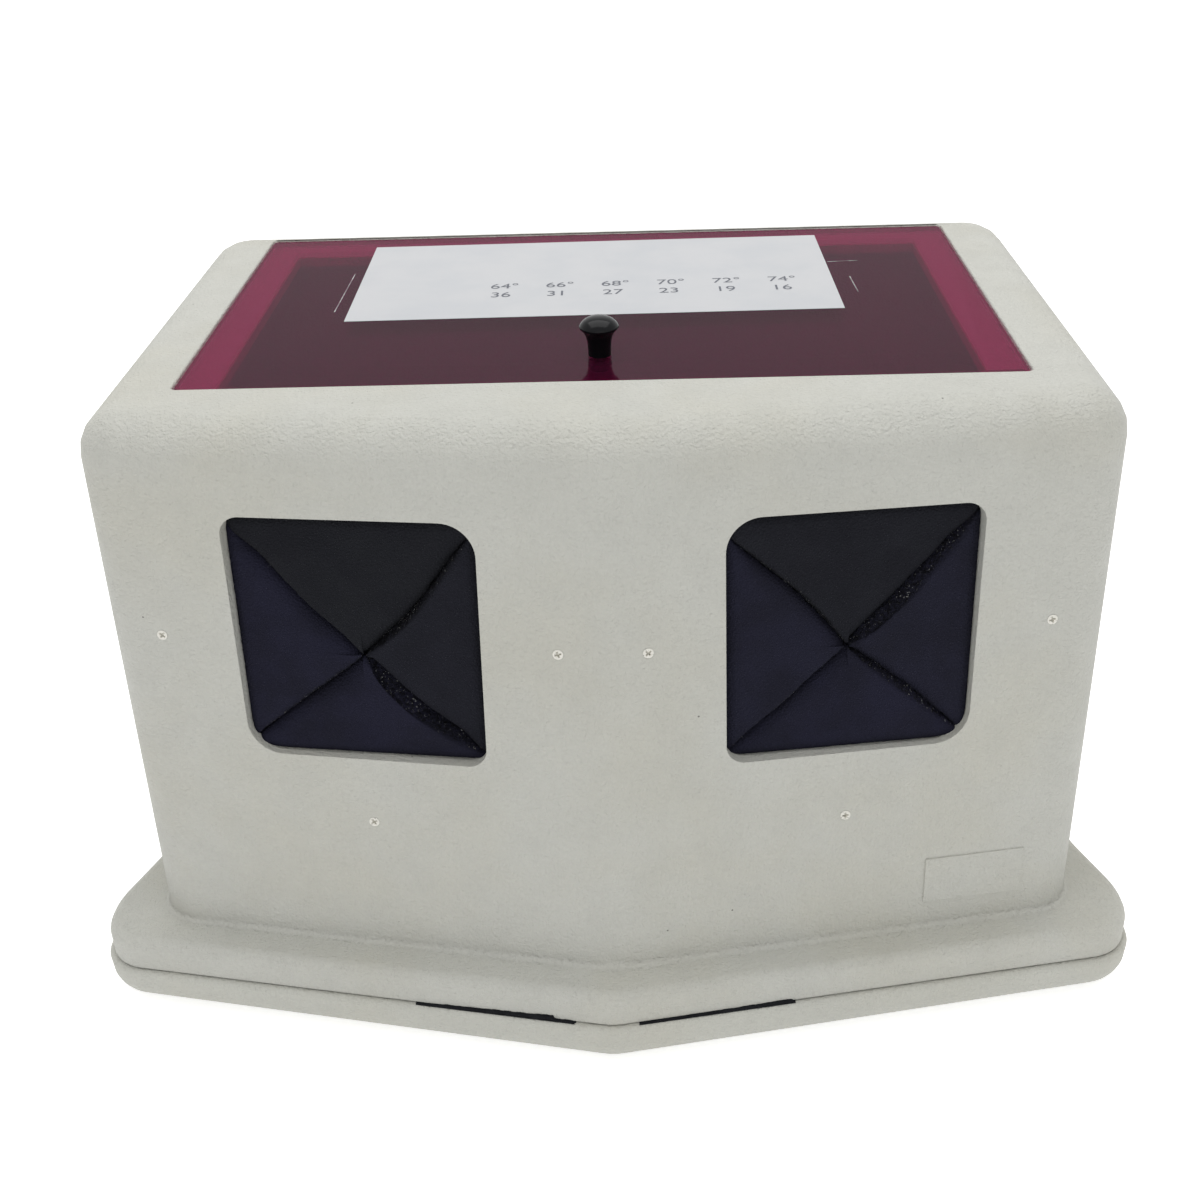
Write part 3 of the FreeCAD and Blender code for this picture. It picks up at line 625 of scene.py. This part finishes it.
def add_screws(paint_coat, recess):
    turns = {"left": (0.9, 0.35, 0.6), "right": (0.3, 0.75, 0.1)}
    for side, sign in SIDES.items():
        face = Face(sign)
        whole = bmesh.new()
        spots = ((sign * SCREW_SIDE, 0), (-sign * SCREW_SIDE, 0), (0, -SCREW_LOW))
        for (u, v), turn in zip(spots, turns[side]):
            shape = screw_mesh(turn)
            bmesh.ops.transform(shape, matrix=face.matrix(u, v), verts=shape.verts[:])
            part = bpy.data.meshes.new("screw")
            shape.to_mesh(part)
            shape.free()
            whole.from_mesh(part)
            bpy.data.meshes.remove(part)
        piece = new_piece(f"{side}_cross_screws", whole, [paint_coat, recess], "hood",
                          35.0)
        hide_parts(f"{side}_port_screws")


def add_cup(name, material):
    """Square cup with rounded corners and a turned-out brim."""
    low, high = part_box(f"{name}_cup")
    centre = (low + high) / 2
    wall, brim, roll, corner = 1.8 * MM, 2.4 * MM, 2.6 * MM, 9.0 * MM
    shape = bmesh.new()
    bmesh.ops.create_cube(shape, size=1.0)
    size = high - low
    bmesh.ops.scale(shape, vec=size, verts=shape.verts[:])
    upright = [e for e in shape.edges if abs(e.verts[0].co.z - e.verts[1].co.z) > size.z / 2]
    bmesh.ops.bevel(shape, geom=upright, offset=corner, segments=8, profile=0.5,
                    affect="EDGES", material=-1)
    foot = [e for e in shape.edges if all(v.co.z < -size.z * 0.49 for v in e.verts)
            and e.calc_face_angle(0.0) > 1.0]
    bmesh.ops.bevel(shape, geom=foot, offset=2.5 * MM, segments=4, profile=0.5,
                    affect="EDGES", material=-1)
    lid = [f for f in shape.faces if f.normal.z > 0.9]
    bmesh.ops.delete(shape, geom=lid, context="FACES")
    rim = [e for e in shape.edges if e.is_boundary]
    for out, down in ((brim, 0.0), (0.0, roll)):
        grown = bmesh.ops.extrude_edge_only(shape, edges=rim)["geom"]
        rim = [g for g in grown if isinstance(g, bmesh.types.BMEdge)]
        for v in (g for g in grown if isinstance(g, bmesh.types.BMVert)):
            away = Vector((v.co.x, v.co.y, 0)) * (out / (size.x / 2))
            v.co += away - Vector((0, 0, down))
    bmesh.ops.recalc_face_normals(shape, faces=shape.faces[:])
    bmesh.ops.translate(shape, vec=centre, verts=shape.verts[:])
    piece = new_piece(f"{name}_beaker", shape, material, name, 40.0)
    thick = piece.modifiers.new("wall", "SOLIDIFY")
    thick.thickness = wall
    thick.offset = -1.0
    rounded = piece.modifiers.new("lip", "BEVEL")
    rounded.width = 0.5 * MM
    rounded.segments = 2
    rounded.limit_method = "ANGLE"
    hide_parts(f"{name}_cup")


def add_softened(node, name, material, body, width):
    """A node's own form with a small round on its edges."""
    shape = merged_copy(node)
    round_edges(shape, lambda c: True, width, 2)
    piece = new_piece(name, shape, material, body)
    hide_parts(node)
    return flat_faces_first(piece)


# Foam baffles: four flaps each, cut crosswise from one sheet
SHEET_HALF = 66.0
FOAM_FRONT = -6.0
FOAM_BACK = -14.0
FOAM_SWELL = 3.0
MEETING = Vector((0.0, -8.5))
TIP_SHARE = 0.985
QUARTERS = ("east", "north", "west", "south")


def slit_point(quarter, sway, share):
    """Place along the slit at the left of a quarter, seen from its root, in (along, up)."""
    angle = pi / 4 + quarter * pi / 2
    corner = Vector((cos(angle), sin(angle))) * SHEET_HALF * sqrt(2)
    line = MEETING - corner
    aside = Vector((-line.y, line.x)).normalized()
    return corner + line * share + aside * (sway[0] * sin(pi * share) + sway[1] * sin(2 * pi * share))


def foam_flap(side, name, quarter, slits, push, twist, painted_sheen_blue, material, seed):
    """A quarter of the sheet; its left side stands forward of the neighbour it hides."""
    face = Face(SIDES[side])
    shape = bmesh.new()
    cut_layer = shape.verts.layers.float.new("cut")
    painted_sheen_layer = shape.verts.layers.float.new("painted_sheen_blue")
    bmesh.ops.create_grid(shape, x_segments=70, y_segments=70, size=1.0)
    grown = bmesh.ops.extrude_face_region(shape, geom=shape.faces[:])
    for g in grown["geom"]:
        if isinstance(g, bmesh.types.BMVert):
            g.co.z = -1.0
    (sway_left, bite), (sway_right, _) = slits[quarter], slits[(quarter - 1) % 4]
    for v in shape.verts:
        share = (v.co.x + 1) / 2 * TIP_SHARE
        across = v.co.y
        behind = v.co.z < -0.5
        free = min(1.0, max(0.0, (share - 0.2) * 5))
        bulge = sin(pi * min(1.0, share ** 2.2)) * free
        left = slit_point(quarter, sway_left, share)
        right = slit_point((quarter - 1) % 4, sway_right, share)
        middle = (left + right) / 2
        half = (left - right).length / 2
        reach = right.lerp(left, (across + 1) / 2)
        inset = 0.25 * free
        tuck = 3.0 * free * abs(across) ** 9
        if across > 0 and not behind:
            inset += bite * bulge * across ** 6
        elif behind:
            inset += tuck if across < 0 else -tuck
        wave = Vector((reach.x, reach.y, seed))
        near = max(0.0, 1 - half * (1 - abs(across)) / 3.5)
        rag = noise.noise(wave * 0.4) * 0.9 + noise.noise(wave * 1.3) * 0.6
        inset += near * free * rag * (0.4 if behind else 1.0)
        if half > 0.01:
            reach += (middle - reach).normalized() * min(max(inset, -3.2), half * 0.95)
        inside = 54.0 - max(abs(reach.x) * PORT_HALF_TALL / PORT_HALF_WIDTH, abs(reach.y))
        swell = FOAM_SWELL * min(1.0, max(0.0, (inside - 1.5) / 4)) ** 0.5
        w = FOAM_BACK if behind else FOAM_FRONT + swell
        w -= push * share ** 1.6
        w += twist * across * bulge * 0.45
        w -= near ** 2 * free * (1.4 if not behind else -0.4)
        valley = max(0.0, 1 - half * (1 - abs(across)) / 11) ** 2 * free
        w -= 0.0 if behind else valley * (3.4 if across < 0 else 1.0)
        w += noise.noise(wave * 0.06) * 1.4 * free + near * free * rag * 0.7
        # The cut attribute is full on cut faces and fainter on the front near the slits; the shader
        # paints shade and pale highlights there.
        v[cut_layer] = near * free if behind or abs(across) > 0.995 else near ** 3 * free * 0.45
        # Each flap's bluish tone: painted sheen.
        v[painted_sheen_layer] = painted_sheen_blue
        v.co = face.point(reach.x, reach.y, w)
    bmesh.ops.recalc_face_normals(shape, faces=shape.faces[:])
    piece = new_piece(f"{side}_{name}_foam", shape, material)
    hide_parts(f"{side}_{name}_flap", f"{side}_foam_ring")
    angle = quarter * pi / 2

    def at(reach):
        return tuple(face.point(cos(angle) * reach, sin(angle) * reach, FOAM_FRONT - 4))
    at(57.0)
    at(48.0)
    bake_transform(piece)
    return piece


def add_foam(material):
    """Slits are listed from the upper right one, each with its sway and torn-back share."""
    slits = {"left": (((0.6, -1.6), 3.2), ((0.0, 0.4), 0.8), ((2.0, 0.6), 0.6),
                      ((1.0, -1.2), 10.5)),
             "right": (((0.3, -0.6), 4.4), ((0.4, -1.4), 1.4), ((0.4, 0.2), 0.5),
                       ((-0.8, 0.4), 2.4))}
    pushes = {"left": (3.5, 2.5, 3.0, 4.5), "right": (2.5, 4.0, 3.5, 3.0)}
    twists = {"left": (2.6, 2.0, 2.4, 3.2), "right": (3.4, 2.6, 2.2, 2.2)}
    # Bluish tone of each flap: painted sheen on flaps cut from one sheet.
    painted_sheen_blues = {"left": (0.25, 0.0, 1.0, 1.0), "right": (0.8, 0.1, 0.9, 1.0)}
    for side, sign in SIDES.items():
        names = ("outer", "top", "inner", "bottom") if sign > 0 else ("inner", "top", "outer", "bottom")
        for k, name in enumerate(names):
            foam_flap(side, name, k, slits[side], pushes[side][k], twists[side][k],
                      painted_sheen_blues[side][k], material, 11.0 * k + 50 * sign)


# Plain numbers on the card, and the edges of the film that covers it
def card_place():
    """Matrix from card coordinates in metres to the top of the card."""
    low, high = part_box("time_label")
    centre = (low + high) / 2
    turn = radians(0.7)
    return (Matrix.Translation(Vector((centre.x, centre.y, high.z)))
            @ Matrix.Rotation(turn, 4, "Z"))


def add_numbers(material):
    lift, spacing, first = 0.06, 25.2, -42.0
    rows = ((("64°", "66°", "68°", "70°", "72°", "74°"), -15.5, 1.2),
            (("36", "31", "27", "23", "19", "16"), -27.5, 0.0))
    for row, (numbers, y, shift) in enumerate(rows):
        for k, number in enumerate(numbers):
            curve = bpy.data.curves.new(f"number_{row}_{k}_curve", "FONT")
            curve.body = number
            curve.size = 9.5 * MM
            curve.align_x = "CENTER"
            text = bpy.data.objects.new(f"number_{row}_{k}_text", curve)
            bpy.context.scene.collection.objects.link(text)
            bpy.context.view_layer.update()
            mesh = bpy.data.meshes.new_from_object(text)
            bpy.data.objects.remove(text)
            offset = Vector((first + spacing * k + shift, y, lift)) * MM
            mesh.transform(card_place() @ Matrix.Translation(offset))
            mesh.materials.append(material)
            piece = bpy.data.objects.new(f"number_{row}_{k}", mesh)
            bpy.context.scene.collection.objects.link(piece)
            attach(piece, "window")


def add_film_edges(material):
    """Hairline ribs where the clear film over the card stops on the pane."""
    shape = bmesh.new()
    for x, y, long, turn in ((-113.5, -14.0, 54.0, 1.545), (116.0, 12.0, 14.0, 0.05),
                             (116.5, -22.0, 22.0, 1.6)):
        made = bmesh.ops.create_grid(shape, x_segments=12, y_segments=1, size=0.5)["verts"]
        place = (card_place() @ Matrix.Translation(Vector((x, y, -0.14)) * MM)
                 @ Matrix.Rotation(turn, 4, "Z") @ Matrix.Diagonal((long * MM, 0.45 * MM, 1, 1)))
        bmesh.ops.transform(shape, matrix=place, verts=made)
    bmesh.ops.solidify(shape, geom=shape.faces[:], thickness=0.08 * MM)
    new_piece("film_edges", shape, material, "window")


# Floor and background
def add_stage():
    shape = bmesh.new()
    bmesh.ops.create_grid(shape, x_segments=1, y_segments=1, size=30.0)
    mesh = bpy.data.meshes.new("floor")
    shape.to_mesh(mesh)
    shape.free()
    f = Finish("floor_white")
    f.set(Base_Color=(0.93, 0.93, 0.93, 1), Roughness=0.9, Specular_IOR_Level=0.1)
    rays = f.node("ShaderNodeLightPath", output="Is Camera Ray")
    f.set(Emission_Color=(1, 1, 1, 1))
    f.drive("Emission Strength", 0.3 + rays * 0.25)
    mesh.materials.append(f.material)
    floor = bpy.data.objects.new("floor", mesh)
    bpy.context.scene.collection.objects.link(floor)

    sky_level = 0.66
    world = bpy.data.worlds.new("studio")
    bpy.context.scene.world = world
    world.use_nodes = True
    tree = world.node_tree
    back = tree.nodes["Background"]
    back.inputs["Color"].default_value = (1, 1, 1, 1)
    rays = tree.nodes.new("ShaderNodeLightPath")
    shown = None
    for kind in ("Is Camera Ray", "Is Glossy Ray", "Is Transmission Ray"):
        either = tree.nodes.new("ShaderNodeMath")
        either.operation = "MAXIMUM"
        tree.links.new(rays.outputs[kind], either.inputs[0])
        if shown is not None:
            tree.links.new(shown, either.inputs[1])
        else:
            either.inputs[1].default_value = 0.0
        shown = either.outputs[0]
    level = tree.nodes.new("ShaderNodeMapRange")
    level.inputs["To Min"].default_value = sky_level
    level.inputs["To Max"].default_value = 1.0
    tree.links.new(shown, level.inputs["Value"])
    tree.links.new(level.outputs[0], back.inputs["Strength"])


def dress():
    cast = cast_plastic("hood_cast", colour(190, 190, 183), colour(187, 185, 173),
                        colour(174, 174, 168))
    add_hood(cast)
    # The base's copy of the plastic is a touch lighter than the hood's: painted light.
    add_base(cast_plastic("base_cast", colour(191, 191, 183), colour(187, 185, 173),
                          colour(174, 174, 168)))
    paint("filter_window", ruby_pane())
    add_knob(black_gloss())
    paint("time_label", card_stock())
    add_gasket(strip_foam())
    steel = plain_steel()
    for node in ("left_port_nuts", "right_port_nuts"):
        paint(node, steel)
    # The knob's screw and washer are steel painted near-black so the spot under the knob stays dark:
    # painted shade.
    painted_shade_black = moulded("shade_dark_steel", colour(24, 23, 24), colour(34, 33, 33), 0.55)
    for node in ("knob_screw", "knob_washer"):
        paint(node, painted_shade_black)
    add_screws(painted_screw(), painted_shade_recess())
    black = moulded("frame_black", colour(28, 28, 30), colour(36, 36, 38), 0.5)
    for side in SIDES:
        add_softened(f"{side}_retaining_frame", f"{side}_clamp_frame", black, "hood",
                     0.4)
    add_softened("cup_rack", "cup_stand", moulded(
        "rack_grey", colour(150, 150, 148), colour(140, 140, 139), 0.42), "rack",
        0.8)
    grey = moulded("cup_grey", colour(186, 186, 183), colour(176, 176, 174), 0.3)
    for name in ("developer", "rinse", "fixer", "wash"):
        add_cup(name, grey)
    add_foam(baffle_foam())
    add_numbers(printed_ink())
    add_film_edges(film_edge())


place_camera()
add_stage()
add_lamp("overhead", (0.0, 0.2, 1.7), (0, 0, 0.2), 2.0, 1.4, 18.2)
add_lamp("front_fill", (0.2, -2.6, 0.9), (0, 0, 0.15), 2.4, 1.6, 3.5)
dress()
bpy.context.scene.view_settings.view_transform = "Standard"
